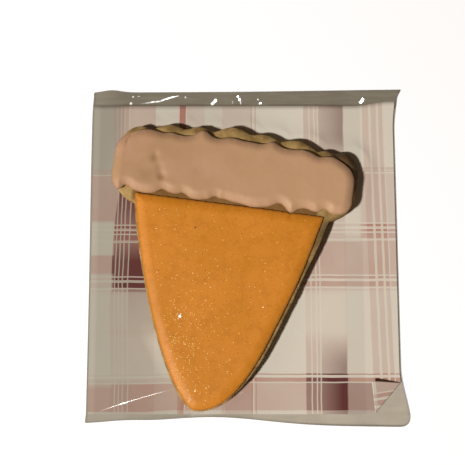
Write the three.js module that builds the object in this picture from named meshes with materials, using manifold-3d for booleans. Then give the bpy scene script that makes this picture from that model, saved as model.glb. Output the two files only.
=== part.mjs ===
// An iced biscuit shaped like a slice of pie, lying on a sheet of card in a flat clear bag.
// Millimetres, +Z up, the bag flat on Z = 0. +Y points to the bag's header and the slice's crust.
import * as THREE from 'three';
import { mergeVertices } from 'three/addons/utils/BufferGeometryUtils.js';
import Module from 'manifold-3d';

// Clearance between pieces that touch
const GAP = 0.3;

// The bag: corners as x, y and rounding, counter-clockwise from bottom left
const BAG_CORNERS = [[-64.2, -67.3, 1.2], [64.2, -68.6, 4.5], [64, 68.6, 0.8], [-63.2, 67.3, 1.2]];
const BAG_POINT_SPACING = 4.2;
const BAG_RIM_HEIGHT = 0.95;
const BAG_RIM_WIDTH = 1.4;
const FILM_HEIGHT = 1.35;
const FILM_DRAPE = 12;
const FILM_DRAPE_POWER = 1.5;
const FILM_HEIGHT_AT_SLICE = 7.5;
const FILM_HEIGHT_AT_CRUST = 8.6;
const HEADER_WIDTH = 6;
const HEADER_CRINKLE = 0.3;

// The card, with one corner folded back over its face
const CARD = { left: -62.6, right: 59.3, bottom: -63.4, top: 61.5, thickness: 0.45 };
const CARD_TOP_RIGHT = [59.8, 63.3];
const CARD_TOP_BEND = 47;
const FOLD = { right: [CARD.right, -51.9], bottom: [49.4, -63.6], tip: [47.9, -54.1], lift: 1.2 };

// Where the biscuit lies on the card: the middle of its crust, and its turn clockwise
const SLICE_CENTRE = [-5, 32.05];
const SLICE_TURN = THREE.MathUtils.degToRad(7.5);

// The slice's pointed part, from the tip up to its shoulders. Each side swells from the tip to
// its full width: bow bends the straight run, roundness blunts the tip, and hollow draws the
// middle of the side in. The biscuit shows beyond the icing by a margin, which narrows towards the
// tip and flares below the crust, and it runs on past the shoulders, under the crust.
const TIP = [-3.5, -95];
const SHOULDER = -13.4;
const SHOULDER_RUN = 7;
const SLICE_SIDES = [
  { hand: -1, width: 34.9, bow: 1.185, roundness: 1.507, hollow: 0, margin: 0.55, flare: 0 },
  { hand: 1, width: 40.9, bow: 1, roundness: 2.18, hollow: 0.65, margin: 1.3, flare: 1.3 }];
const HOLLOW_AT = 0.43;
const HOLLOW_REACH = 0.17;
const SLICE_STEPS = 28;
const TIP_MARGIN = 0.35;
const MARGIN_RUN = 0.35;
const FLARE_FROM = 0.68;
const FLARE_RUN = 0.25;

// The crust's scalloped end: place and height of each lobe along it
const CRUST_LOBES = [
  [-41.8, 14.6], [-27.8, 16.3], [-16, 16.8], [-2.6, 18.5], [9.4, 17.2], [22.8, 16.6], [35.6, 13.6],
  [44.6, 14.4]];
const LOBE_DIAMETER = 20;
const CRUST = { left: -48.7, right: 49, halfWidth: 16, corners: [13, 8.5, 11, 13], points: 136 };
const CRUST_BOTTOM = -16.3;
const CRUST_BOTTOM_SLOPE = 0.03;

// The thick icing on the crust: its wavy edges as place, reach and depth of each wave
const CRUST_ICING = { left: -48.7, right: 47.7, halfWidth: 12.5, corners: [6, 11, 9, 4.5], points: 168 };
const SPINE_WIDTH = 0.25;
const CRUST_ICING_TOP = 12.2;
const CRUST_ICING_ARCH = 0.0008;
const TOP_WAVES = [
  [-37, 6, 1.5], [-27, 2.5, 0.7], [-14.5, 3.3, 2.9], [-2.5, 5, 1.3], [5.5, 3, 0.5],
  [13.5, 3, 1.9], [26.2, 2.6, 0.7], [33, 2.5, -1.1], [42, 3, -0.4]];
const CRUST_ICING_BOTTOM = -12.2;
const BOTTOM_WAVES = [
  [-45.3, 1.8, -1.4], [-42.6, 1.9, 1.7], [-34.5, 4.2, -1], [-27.6, 2, 1.6], [-24, 1.5, 0.3],
  [-19.5, 1.8, 1.2], [-14, 3.6, -1], [-6.6, 1.4, 1.4], [-3, 2.2, 0.7], [9, 4.6, -1.1],
  [19.2, 2.6, 1.9], [24, 1.8, -1.7], [29.5, 3, 1.1], [37.3, 1.8, 2], [42, 1.8, 0.3]];

// Heights above the floor, and how far the rounded sides pull in at each
const BISCUIT_BASE = CARD.thickness + GAP;
const BISCUIT_THICKNESS = 6.3;
const ICING_BASE = BISCUIT_BASE + BISCUIT_THICKNESS + GAP;
const PUMPKIN_ICING_THICKNESS = 1.5;
const CRUST_ICING_THICKNESS = 2.6;
const BISCUIT_PROFILE = [[0.9, 0], [0.15, 0.07], [0, 0.3], [0.05, 0.78], [0.3, 0.92], [0.9, 1]];
const PUMPKIN_ICING_PROFILE = [[0.4, 0], [0, 0.3], [0.15, 0.58], [0.7, 0.82], [1.8, 0.94]];
const CRUST_ICING_PROFILE = [[0.5, 0], [0, 0.28], [0.15, 0.55], [0.6, 0.78], [1.1, 0.9]];

// Relief in the top of the crust icing: x, y, reach and height of each rise or dent
const CRUST_ICING_RELIEF = [
  [-41, 1, 7, 0.3], [-32, 0.5, 3, -0.5], [-29.5, -5, 3.4, -0.6], [-25, 0, 5, 0.35],
  [-14, 8, 5, 0.35], [-5, 0, 6, -0.3], [5, 5, 8, 0.3], [14, -5, 7, -0.25], [23, 2, 7, 0.3],
  [32, -4, 7, 0.2], [40, 2, 6, -0.25]];

const wasm = await Module();
wasm.setup();

const bell = (x, middle, reach) => Math.exp(-(((x - middle) / reach) ** 2));
const ramp = (distance, reach) => THREE.MathUtils.smoothstep(distance, 0, reach);
const mix = (a, b, t) => a.map((value, i) => THREE.MathUtils.lerp(value, b[i], t));
const length = (a, b) => Math.hypot(b[0] - a[0], b[1] - a[1]);
const waves = (list, x) => list.reduce((sum, [at, reach, size]) => sum + size * bell(x, at, reach), 0);

// Turns a point of the slice's own frame into the bag's frame
function place([x, y]) {
  const cos = Math.cos(SLICE_TURN);
  const sin = Math.sin(SLICE_TURN);
  return [x * cos + y * sin + SLICE_CENTRE[0], -x * sin + y * cos + SLICE_CENTRE[1]];
}

// Moves every point of a counter-clockwise outline sideways: inwards for a positive distance
function inset(outline, distance) {
  const count = outline.length;
  return outline.map(([x, y, ...z], i) => {
    const [x0, y0] = outline[(i + count - 1) % count];
    const [x1, y1] = outline[(i + 1) % count];
    const size = Math.hypot(x1 - x0, y1 - y0);
    return [x - ((y1 - y0) / size) * distance, y + ((x1 - x0) / size) * distance, ...z];
  });
}

// Closed solid through a stack of counter-clockwise rings of x, y, z points
function loft(rings) {
  const count = rings[0].length;
  const top = (rings.length - 1) * count;
  const cap = (ring) => THREE.ShapeUtils.triangulateShape(ring.map(([x, y]) => new THREE.Vector2(x, y)), []);
  const index = [];
  for (let r = 0; r < rings.length - 1; r++) {
    for (let i = 0; i < count; i++) {
      const a = r * count + i;
      const b = r * count + ((i + 1) % count);
      index.push(a, b, b + count, a, b + count, a + count);
    }
  }
  for (const [a, b, c] of cap(rings[0])) index.push(a, c, b);
  for (const triangle of cap(rings.at(-1))) index.push(...triangle.map((corner) => top + corner));
  const geometry = new THREE.BufferGeometry();
  geometry.setAttribute('position', new THREE.Float32BufferAttribute(rings.flat(2), 3));
  geometry.setIndex(index);
  return geometry;
}

// Straight-sided solid of an outline between two heights
const prism = (outline, bottom, top) => loft([bottom, top].map((z) => outline.map(([x, y]) => [x, y, z])));

// Slab whose sides follow a profile of [pull-in, share of thickness], then rise inwards to the spine
function slab({ outline, spine, base, thickness, profile, relief }) {
  const rings = profile.map(([pull, share]) => (
    inset(outline, pull).map(([x, y]) => [x, y, base + share * thickness])));
  const rim = inset(outline, profile.at(-1)[0]);
  const shares = relief ? [0.25, 0.5, 0.75] : [];
  for (const share of shares) {
    rings.push(rim.map((point, i) => {
      const [x, y] = mix(point, spine[i], share);
      return [x, y, base + thickness + relief(x, y)];
    }));
  }
  return loft(rings.map((ring) => ring.map(([x, y, z]) => [...place([x, y]), z])));
}

function solid(geometry) {
  const bare = geometry.clone();
  bare.deleteAttribute('normal');
  bare.deleteAttribute('uv');
  const merged = mergeVertices(bare, 1e-5);
  return new wasm.Manifold(new wasm.Mesh({
    numProp: 3,
    vertProperties: new Float32Array(merged.attributes.position.array),
    triVerts: new Uint32Array(merged.index.array),
  }));
}

function piece(name, shape, { color, roughness, opacity = 1 }) {
  const mesh = shape.getMesh();
  const geometry = new THREE.BufferGeometry();
  geometry.setAttribute('position', new THREE.BufferAttribute(new Float32Array(mesh.vertProperties), 3));
  geometry.setIndex(new THREE.BufferAttribute(new Uint32Array(mesh.triVerts), 1));
  geometry.computeVertexNormals();
  const transparent = opacity < 1;
  const material = new THREE.MeshStandardMaterial({ color, roughness, metalness: 0, opacity, transparent });
  const result = new THREE.Mesh(geometry, material);
  result.name = name;
  return result;
}

// Outline of the pointed part, down its left side, round the tip, up its right side and back
// across the top, with the spine point that each outline point looks to
function sliceOutline(baked) {
  const tip = [TIP[0], TIP[1] - (baked ? TIP_MARGIN : 0)];
  const [left, right] = SLICE_SIDES.map(({ hand, width, bow, roundness, hollow, margin, flare }) => {
    const run = Array.from({ length: SLICE_STEPS }, (_, i) => {
      const up = ((SLICE_STEPS - i) / SLICE_STEPS) ** 2;
      const flared = flare * ramp(up - FLARE_FROM, FLARE_RUN);
      const beyond = THREE.MathUtils.lerp(TIP_MARGIN, margin, ramp(up, MARGIN_RUN)) + flared;
      const full = width * (1 - (1 - up) ** bow) ** (1 / roundness) + (baked ? beyond : 0);
      const half = full - hollow * bell(up, HOLLOW_AT, HOLLOW_REACH);
      return [tip[0] + hand * half, THREE.MathUtils.lerp(tip[1], SHOULDER, up)];
    });
    return baked ? [[run[0][0], SHOULDER + SHOULDER_RUN], ...run] : run;
  });
  right.reverse();
  const across = [0.75, 0.5, 0.25].map((share) => mix(left[0], right.at(-1), share));
  const outline = [...left, tip, ...right, ...across];
  const spine = outline.map(([x, y]) => [
    mix(TIP, [0, SHOULDER], (y - TIP[1]) / (SHOULDER - TIP[1]))[0] + 0.12 * x,
    THREE.MathUtils.clamp(y, TIP[1] + 10, SHOULDER)]);
  return { outline, spine };
}

// Outline of a bar with rounded corners, its long edges bent to two functions of x
function barOutline({ left, right, halfWidth, corners, points }, top, bottom) {
  const shape = new THREE.Shape();
  [[right, -1], [right, 1], [left, 1], [left, -1]].forEach(([end, up], i) => {
    const radius = corners[i];
    const start = (i - 1) * (Math.PI / 2);
    const x = end - Math.sign(end) * radius;
    shape.absarc(x, up * (halfWidth - radius), radius, start, start + Math.PI / 2);
  });
  shape.closePath();
  const bend = (x, y) => [x, (Math.abs(y) / halfWidth) * (y > 0 ? top(x) : bottom(x))];
  const base = shape.getSpacedPoints(points).slice(0, points);
  const outline = base.map(({ x, y }) => bend(x, y));
  const spine = base.map(({ x, y }) => [THREE.MathUtils.clamp(x, left + halfWidth, right - halfWidth), y * SPINE_WIDTH]);
  return { outline, spine };
}

const crustTop = (x) => Math.max(...CRUST_LOBES.map(([at, height]) => height - ((x - at) ** 2) / LOBE_DIAMETER));
const crustBottom = (x) => CRUST_BOTTOM + CRUST_BOTTOM_SLOPE * x;
const icingTop = (x) => CRUST_ICING_TOP - CRUST_ICING_ARCH * x * x + waves(TOP_WAVES, x);
const icingBottom = (x) => CRUST_ICING_BOTTOM + waves(BOTTOM_WAVES, x);

const slice = sliceOutline(true);
const crust = barOutline(CRUST, crustTop, crustBottom);
const pumpkin = sliceOutline(false);
const crustIcing = barOutline(CRUST_ICING, icingTop, icingBottom);

// Biscuit: the pointed part and the scalloped crust baked as one slab
const biscuitSize = { base: BISCUIT_BASE, thickness: BISCUIT_THICKNESS, profile: BISCUIT_PROFILE };
const biscuit = solid(slab({ ...slice, ...biscuitSize })).add(solid(slab({ ...crust, ...biscuitSize })));

// Icing on the crust, thick and uneven
const crustIcingSolid = solid(slab({
  ...crustIcing,
  base: ICING_BASE,
  thickness: CRUST_ICING_THICKNESS,
  profile: CRUST_ICING_PROFILE,
  relief: (x, y) => CRUST_ICING_RELIEF.reduce((sum, [at, up, reach, height]) => (
    sum + height * bell(x, at, reach) * bell(y, up, reach)), 0.05),
}));

// Pumpkin-coloured icing, thinner, up to the edge of the crust's icing
const crustIcingEdge = inset(crustIcing.outline, -GAP).map(place);
const pumpkinIcing = solid(slab({
  ...pumpkin,
  base: ICING_BASE,
  thickness: PUMPKIN_ICING_THICKNESS,
  profile: PUMPKIN_ICING_PROFILE,
  relief: (x, y) => 0.08 + 0.06 * Math.sin(x * 0.2 + 1) * Math.sin(y * 0.13),
})).subtract(solid(prism(crustIcingEdge, 0, 20)));

// Card: flat, its bottom right corner cut along the fold and turned back over the face
const cardOutline = [
  [CARD.left, CARD.bottom], FOLD.bottom, FOLD.right, CARD_TOP_RIGHT, [CARD_TOP_BEND, CARD.top + 0.6],
  [CARD.left, CARD.top]];
const foldOutline = [FOLD.bottom, FOLD.right, FOLD.tip];
const foldHeights = (low, rise) => foldOutline.map(([x, y], i) => [x, y, low + (i === 2 ? rise : 0)]);
const card = solid(prism(cardOutline, 0, CARD.thickness)).add(solid(loft([
  foldHeights(CARD.thickness / 2, FOLD.lift),
  foldHeights(CARD.thickness * 2, FOLD.lift)])));

// Outline of the bag: each side runs between two corners and is pulled in by its contents
const pullIns = [
  (x) => 3 * bell(x, -13, 28) + 0.85 * bell(x, -49, 11),
  (y) => 3.4 * ramp(y + 68, 22) * ramp(70 - y, 19),
  (x) => 0.3 * bell(x, 0, 50) - bell(x, -56, 5),
  (y) => 0.4 * ramp(y + 68, 5)];

function bagOutline() {
  return BAG_CORNERS.flatMap((corner, side) => {
    const next = BAG_CORNERS[(side + 1) % 4];
    const before = BAG_CORNERS[(side + 3) % 4];
    const total = length(corner, next);
    const inward = [-(next[1] - corner[1]) / total, (next[0] - corner[0]) / total];
    const along = side % 2;
    const steps = Math.round(total / BAG_POINT_SPACING);
    const start = corner[2] / total;
    const end = 1 - next[2] / total;
    const run = Array.from({ length: steps + 1 }, (_, i) => {
      const [x, y] = mix(corner, next, THREE.MathUtils.lerp(start, end, i / steps));
      const pull = pullIns[side]([x, y][along]);
      return [x + inward[0] * pull, y + inward[1] * pull];
    });
    const entry = mix(corner, before, corner[2] / length(corner, before));
    const round = mix(mix(entry, run[0], 0.5), corner, 0.45).slice(0, 2);
    return [round, ...run];
  });
}

// Last point of an outline that the ray from the centre to a target crosses
function crossing(centre, target, outline) {
  const ray = [target[0] - centre[0], target[1] - centre[1]];
  return outline.reduce((best, a, i) => {
    const b = outline[(i + 1) % outline.length];
    const edge = [b[0] - a[0], b[1] - a[1]];
    const cross = ray[0] * edge[1] - ray[1] * edge[0];
    const offset = [a[0] - centre[0], a[1] - centre[1]];
    const t = (offset[0] * edge[1] - offset[1] * edge[0]) / cross;
    const s = (offset[0] * ray[1] - offset[1] * ray[0]) / cross;
    return s >= 0 && s <= 1 && t > best ? t : best;
  }, 0);
}

// Bag: the clear film and the air under it, draped from the biscuit down to the card
const bagEdge = bagOutline();
const centre = place([0, -20]);
const biscuitEdges = [slice.outline.map(place), crust.outline.map(place)];
const reaches = bagEdge.map((target) => Math.max(...biscuitEdges.map((edge) => crossing(centre, target, edge))));
const smooth = reaches.map((_, i) => {
  const near = [-2, -1, 0, 1, 2].map((step) => reaches[(i + step + reaches.length) % reaches.length]);
  return near.reduce((sum, value) => sum + value, 0) / near.length;
});
const contact = bagEdge.map((target, i) => mix(centre, target, Math.max(smooth[i], reaches[i])));

const sliceHeight = (y) => THREE.MathUtils.lerp(FILM_HEIGHT_AT_SLICE, FILM_HEIGHT_AT_CRUST, ramp(y - 5, 12));
const flatHeight = (x, y) => FILM_HEIGHT
  + (FOLD.lift + 0.9) * bell(x, FOLD.tip[0], 13) * bell(y, FOLD.tip[1], 13)
  + HEADER_CRINKLE * Math.sin(x * 0.45) * Math.sin(x * 0.17 + 1) * ramp(y - CARD.top, HEADER_WIDTH);

function bagRings() {
  const ringAt = (distanceOf, riseOf) => bagEdge.map((edge, i) => {
    const room = length(contact[i], edge);
    const drape = Math.min(FILM_DRAPE, room * 0.85);
    const distance = distanceOf(room, drape);
    const [x, y] = mix(contact[i], edge, distance / room);
    const low = flatHeight(x, y);
    return [x, y, low + (sliceHeight(y) - low) * riseOf(distance / drape)];
  });
  const slope = (share) => (1 - share) ** FILM_DRAPE_POWER;
  const flat = [1, 0.7, 0.4].map((share) => (
    ringAt((room, drape) => drape + (room - BAG_RIM_WIDTH * 0.8 - drape) * share, () => 0)));
  const draped = [1, 0.6, 0.3, 0.1, 0].map((share) => ringAt((room, drape) => drape * share, slope));
  const level = (z) => bagEdge.map(([x, y]) => [x, y, z]);
  const inside = contact.map((point) => [...mix(point, centre, 0.3), FILM_HEIGHT_AT_CRUST]);
  return [level(0), level(BAG_RIM_HEIGHT), ...flat, ...draped, inside];
}

// The bag is open over the biscuit, where the film lies on the icing, and hollow over the card
const clearance = GAP + 0.05;
const roomForFold = foldHeights(CARD.thickness * 2 + GAP, FOLD.lift + 0.2);
const cavities = [
  ...biscuitEdges.map((edge) => prism(inset(edge, -clearance), -1, 20)),
  prism(inset(crustIcing.outline, -clearance).map(place), BISCUIT_BASE + BISCUIT_THICKNESS, 20),
  prism(inset(cardOutline, -clearance), -1, CARD.thickness + GAP),
  loft([inset(foldOutline, -0.7).map((point) => [...point, -1]), inset(roomForFold, -0.7)])];
const bag = cavities.reduce((shape, cavity) => shape.subtract(solid(cavity)), solid(loft(bagRings())));

const packedBiscuit = new THREE.Group();
packedBiscuit.add(
  piece('bag', bag, { color: 0xc9c4b6, roughness: 0.15, opacity: 0.3 }),
  piece('card', card, { color: 0xcdb9ac, roughness: 0.8 }),
  piece('biscuit', biscuit, { color: 0xa8946a, roughness: 0.9 }),
  piece('pumpkin_icing', pumpkinIcing, { color: 0xcf8a38, roughness: 0.35 }),
  piece('crust_icing', crustIcingSolid, { color: 0xb99273, roughness: 0.45 }),
);

export default packedBiscuit;
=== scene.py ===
"""Iced biscuit shaped like a slice of pie, lying on plaid card in a flat clear bag.

Lengths in the shape functions are millimetres; meshes and settings are metres. The bag lies flat on
Z = 0, with +Y towards its header and the biscuit's crust.
"""

import itertools
import math

import bmesh
import bpy
import numpy as np
from bpy.props import FloatProperty, FloatVectorProperty, IntProperty, PointerProperty
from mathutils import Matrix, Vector, kdtree
from mathutils.bvhtree import BVHTree


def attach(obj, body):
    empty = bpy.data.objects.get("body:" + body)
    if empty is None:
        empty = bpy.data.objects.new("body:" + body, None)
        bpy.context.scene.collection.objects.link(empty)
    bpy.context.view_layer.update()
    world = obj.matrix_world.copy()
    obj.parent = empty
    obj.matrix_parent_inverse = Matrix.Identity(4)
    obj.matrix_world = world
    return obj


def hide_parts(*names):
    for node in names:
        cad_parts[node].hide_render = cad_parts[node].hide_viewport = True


bl_info = {
    "name": "Packed Slice Biscuit",
    "version": (1, 0, 0),
    "blender": (4, 5, 0),
    "location": "3D View > Sidebar > Packed Biscuit",
    "description": "Builds an iced slice-shaped biscuit on plaid card in a clear bag",
    "category": "Object",
}

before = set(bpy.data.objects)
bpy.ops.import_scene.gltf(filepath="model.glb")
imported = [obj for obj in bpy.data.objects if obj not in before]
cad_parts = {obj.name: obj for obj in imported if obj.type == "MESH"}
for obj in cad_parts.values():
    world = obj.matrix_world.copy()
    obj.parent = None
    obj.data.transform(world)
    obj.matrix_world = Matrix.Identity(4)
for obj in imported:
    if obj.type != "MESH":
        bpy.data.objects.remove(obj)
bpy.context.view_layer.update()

MM = 0.001
BODY = "root"
UP = Vector((0, 0, 1))
DOWN = Vector((0, 0, -1))

# The bag: corners as x, y and rounding, counter-clockwise from bottom left
BAG_CORNERS = ((-64.2, -67.3, 1.2), (64.2, -68.6, 4.5), (64.0, 68.6, 0.8), (-63.8, 67.3, 1.2))
BAG_WIDTH, BAG_LENGTH = 128.0, 136.0
RIM_WIDTH = 1.3
FILM_BOTTOM = 0.03

# How far the front film stays above the food, and its least height beside it
FILM_CLEARANCE = 0.08
LEAST_CLEARANCE = 0.06
LEAST_HEIGHT = 0.55

# The card and the fold across its bottom right corner
CARD_LEFT, CARD_BOTTOM, CARD_TOP = -63.1, -63.6, 61.5
FOLD_RIGHT = np.array((59.5, -51.9))
FOLD_BOTTOM = np.array((49.3, -63.6))
FOLD_TIP = (47.4, -54.6)
CARD_LEVEL = 0.12

# Lowest level of the biscuit, and of the icing's top that glitter and spice lie on
BISCUIT_LEVEL = 0.47
ICING_LEVEL = 7.7

# Where the biscuit lies, as in its solids
SLICE_CENTRE = (-5.0, 32.05)
SLICE_TURN = math.radians(7.5)
SLICE_TIP = (-3.5, -95.0)

# The largest sugar grain on the pumpkin icing, in the slice's frame; its near-white colour is a painted glint
GLINT_GRAIN = (-13.8, -59.9)

# Places of the camera and of the main lamp
EYE = Vector((-0.0060, -0.04006, 0.3466))
LAMP = Vector((-0.66, -0.42, 1.0)).normalized() * 3.0


# ---------------------------------------------------------------- shape helpers

def bell(x, middle, reach):
    return np.exp(-(((x - middle) / reach) ** 2))


def ramp(distance, reach):
    share = np.clip(distance / reach, 0, 1)
    return share * share * (3 - 2 * share)


def to_slice(x, y):
    """The bag's x and y in the slice's own frame, where +Y points across the crust."""
    dx, dy = x - SLICE_CENTRE[0], y - SLICE_CENTRE[1]
    cos, sin = math.cos(SLICE_TURN), math.sin(SLICE_TURN)
    return dx * cos - dy * sin, dx * sin + dy * cos


def from_slice(x, y):
    cos, sin = math.cos(SLICE_TURN), math.sin(SLICE_TURN)
    return x * cos + y * sin + SLICE_CENTRE[0], -x * sin + y * cos + SLICE_CENTRE[1]


def grain(points, size, seed):
    """Smooth value from -1 to 1 at each point, which changes over about size millimetres."""
    table = np.random.default_rng(seed).uniform(-1, 1, 4096)
    cell = np.asarray(points, float) / size
    corner = np.floor(cell).astype(np.int64)
    part = cell - corner
    part = part * part * (3 - 2 * part)
    total = np.zeros(len(cell))
    for step in itertools.product((0, 1), repeat=cell.shape[1]):
        key = np.zeros(len(cell), np.int64)
        weight = np.ones(len(cell))
        for axis, (up, prime) in enumerate(zip(step, (73856093, 19349663, 83492791))):
            key ^= (corner[:, axis] + up) * prime
            weight *= part[:, axis] if up else 1 - part[:, axis]
        total += weight * table[key % len(table)]
    return total


def mesh_points(mesh):
    points = np.zeros(len(mesh.vertices) * 3)
    mesh.vertices.foreach_get("co", points)
    return points.reshape(-1, 3) / MM


def mesh_normals(mesh):
    normals = np.zeros(len(mesh.vertices) * 3)
    mesh.vertices.foreach_get("normal", normals)
    return normals.reshape(-1, 3)


def set_mesh_points(mesh, points):
    mesh.vertices.foreach_set("co", (points * MM).ravel())
    mesh.update()


def new_piece(name, mesh, material):
    """Links a mesh as a piece of the object, with its finish and the body that carries it."""
    piece = bpy.data.objects.new(name, mesh)
    bpy.context.scene.collection.objects.link(piece)
    mesh.materials.clear()
    mesh.materials.append(material)
    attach(piece, BODY)
    return piece


def fine_mesh(node, voxel, soften):
    """Fine even mesh of a CAD solid, its edges softened."""
    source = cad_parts[node]
    draft = bpy.data.objects.new(node + "_draft", source.data.copy())
    bpy.context.scene.collection.objects.link(draft)
    remesh = draft.modifiers.new("Even mesh", "REMESH")
    remesh.mode = "VOXEL"
    remesh.voxel_size = voxel * MM
    smooth = draft.modifiers.new("Soften", "SMOOTH")
    smooth.factor = 0.5
    smooth.iterations = soften
    graph = bpy.context.evaluated_depsgraph_get()
    mesh = bpy.data.meshes.new_from_object(draft.evaluated_get(graph))
    bpy.data.objects.remove(draft)
    mesh.materials.clear()
    mesh.polygons.foreach_set("use_smooth", [True] * len(mesh.polygons))
    return mesh


def domed(points, normals, reach, share):
    """Rounds the top of points down towards their outline; returns how far inwards each point lies."""
    outline = points[np.abs(normals[:, 2]) < 0.35][:, :2]
    inwards = np.clip(edge_distance(points[:, :2], outline) / reach, 0, 1)
    bottom = points[:, 2].min()
    thickness = 0.98 * (np.percentile(points[:, 2], 95) - bottom)
    crown = bottom + thickness * (1 - share * (1 - inwards) ** 2)
    upper = ramp(normals[:, 2] - 0.5, 0.3)
    points[:, 2] = np.minimum(points[:, 2] + upper * (crown - points[:, 2]), crown)
    return inwards


def edge_distance(points, outline):
    tree = kdtree.KDTree(len(outline))
    for i, (x, y) in enumerate(outline):
        tree.insert((x, y, 0), i)
    tree.balance()
    return np.array([tree.find((x, y, 0))[2] for x, y in points])


def set_value(mesh, name, values):
    """Keeps a number for each of the mesh's points, for its finish to read."""
    mesh.attributes.new(name, "FLOAT", "POINT").data.foreach_set("value", values.astype(np.float32))


def surface_of(pieces):
    """Ray-cast trees of the pieces as they stand."""
    graph = bpy.context.evaluated_depsgraph_get()
    return [BVHTree.FromObject(piece, graph) for piece in pieces]


def heights_at(trees, points, missing):
    """Height in millimetres of the highest surface under each x, y point."""
    found = np.full(len(points), float(missing))
    for tree in trees:
        for i, (x, y) in enumerate(points):
            hit = tree.ray_cast(Vector((x * MM, y * MM, 0.05)), DOWN)[0]
            if hit is not None:
                found[i] = max(found[i], hit.z / MM)
    return found


# ---------------------------------------------------------------- material helpers

def add_node(tree, kind, values=None, **settings):
    """New node with its settings, its inputs set to values or linked to other nodes' outputs."""
    node = tree.nodes.new(kind)
    for name, value in settings.items():
        setattr(node, name, value)
    for name, value in (values or {}).items():
        if isinstance(value, bpy.types.NodeSocket):
            tree.links.new(value, node.inputs[name])
        else:
            node.inputs[name].default_value = value
    return node


def calc(tree, operation, *values, clamp=False):
    values = dict(enumerate(values))
    return add_node(tree, "ShaderNodeMath", values, operation=operation, use_clamp=clamp).outputs[0]


def joined(tree, operation, first, *others):
    """One value from several, taken two by two."""
    for other in others:
        first = calc(tree, operation, first, other)
    return first


def product(tree, *values):
    return joined(tree, "MULTIPLY", *values)


def highest(tree, *values):
    return joined(tree, "MAXIMUM", *values)


def blend(tree, factor, first, second):
    """Colour between two, by a factor from 0 to 1."""
    values = {0: factor, 6: colour(first), 7: colour(second)}
    node = add_node(tree, "ShaderNodeMix", values, data_type="RGBA", clamp_factor=True)
    return node.outputs[2]


def layered(tree, base, *layers):
    """The base colour under layers, each a factor and the colour that it blends in."""
    for factor, shade in layers:
        base = blend(tree, factor, base, shade)
    return base


def colour(value):
    if isinstance(value, bpy.types.NodeSocket) or len(value) == 4:
        return value
    return (*value, 1)


def scaled(shade, factors):
    return tuple(channel * factor for channel, factor in zip(shade, factors))


def line_step(tree, value, low, high, start=0.0, end=1.0):
    values = {"Value": value, "From Min": low, "From Max": high, "To Min": start, "To Max": end}
    return add_node(tree, "ShaderNodeMapRange", values).outputs["Result"]


def smooth_step(tree, value, low, high, start=0.0, end=1.0):
    result = line_step(tree, value, low, high, start, end)
    result.node.interpolation_type = "SMOOTHSTEP"
    return result


def place_in_mm(tree):
    """The surface point in millimetres, as a vector and as x, y and z."""
    coordinates = add_node(tree, "ShaderNodeTexCoord").outputs["Object"]
    vector = add_node(
        tree, "ShaderNodeVectorMath", {0: coordinates, "Scale": 1 / MM}, operation="SCALE").outputs[0]
    axes = add_node(tree, "ShaderNodeSeparateXYZ", {0: vector}).outputs
    return vector, axes[0], axes[1], axes[2]


def kept_value(tree, name, output="Fac"):
    """What a piece's mesh keeps for each of its points under a name."""
    return add_node(tree, "ShaderNodeAttribute", attribute_name=name).outputs[output]


def noise(tree, vector, size, detail=2.0, roughness=0.5):
    """Cloudy value around 0.5 that changes over about size millimetres."""
    values = {"Vector": vector, "Scale": 1 / size, "Detail": detail, "Roughness": roughness}
    return add_node(tree, "ShaderNodeTexNoise", values).outputs["Fac"]


def bands(tree, position, low, high, stops, how="CONSTANT"):
    """Value that steps along position, from stops of place and value."""
    node = add_node(tree, "ShaderNodeValToRGB", {"Fac": line_step(tree, position, low, high)})
    node.color_ramp.interpolation = how
    elements = node.color_ramp.elements
    for i, (place, value) in enumerate(stops):
        at = (place - low) / (high - low)
        element = elements[i] if i < 2 else elements.new(at)
        element.position = at
        element.color = (value, value, value, 1)
    return node.outputs["Color"]


def bump(tree, height, strength, distance):
    """Fine relief in the shading, its full height in millimetres."""
    values = {"Strength": strength, "Distance": distance * MM, "Height": height}
    return add_node(tree, "ShaderNodeBump", values).outputs["Normal"]


def new_material(name):
    material = bpy.data.materials.new(name)
    material.use_nodes = True
    tree = material.node_tree
    tree.nodes.clear()
    output = add_node(tree, "ShaderNodeOutputMaterial")
    return material, tree, output


def surface(tree, output, values):
    """Main shader of a material, joined to its output."""
    shader = add_node(tree, "ShaderNodeBsdfPrincipled", values)
    tree.links.new(shader.outputs[0], output.inputs["Surface"])
    return shader


# ---------------------------------------------------------------- settings

class BiscuitSettings(bpy.types.PropertyGroup):
    crumb_depth: FloatProperty(
        name="Crumb depth", description="Depth of the crumb's pits and grains",
        default=0.00012, min=0, unit="LENGTH")
    pale: FloatVectorProperty(
        name="Pale crumb", description="Colour of the lightly baked crumb",
        default=(0.41, 0.262, 0.098), subtype="COLOR", min=0, max=1)
    baked: FloatVectorProperty(
        name="Baked crumb", description="Colour of the browner edges and pits",
        default=(0.20, 0.115, 0.034), subtype="COLOR", min=0, max=1)


class IcingSettings(bpy.types.PropertyGroup):
    swell: FloatProperty(
        name="Swell", description="Growth that closes the clearance between icing and biscuit",
        default=0.00017, min=0, unit="LENGTH")
    relief: FloatProperty(
        name="Crust relief", description="Scale of the ridges and dents in the crust's icing",
        default=1.0, min=0, subtype="FACTOR")
    pumpkin: FloatVectorProperty(
        name="Pumpkin icing", description="Colour of the icing on the pointed part",
        default=(0.54, 0.192, 0.013), subtype="COLOR", min=0, max=1)
    crust: FloatVectorProperty(
        name="Crust icing", description="Colour of the icing on the crust",
        default=(0.42, 0.244, 0.132), subtype="COLOR", min=0, max=1)
    glitter_count: IntProperty(
        name="Glitter flakes", description="Number of sugar glitter flakes", default=650, min=0)
    flake_size: FloatProperty(
        name="Flake size", description="Width of a typical glitter flake",
        default=0.00034, min=0, unit="LENGTH")
    spice_count: IntProperty(
        name="Spice specks", description="Number of dark specks in the icing", default=90, min=0)


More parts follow.
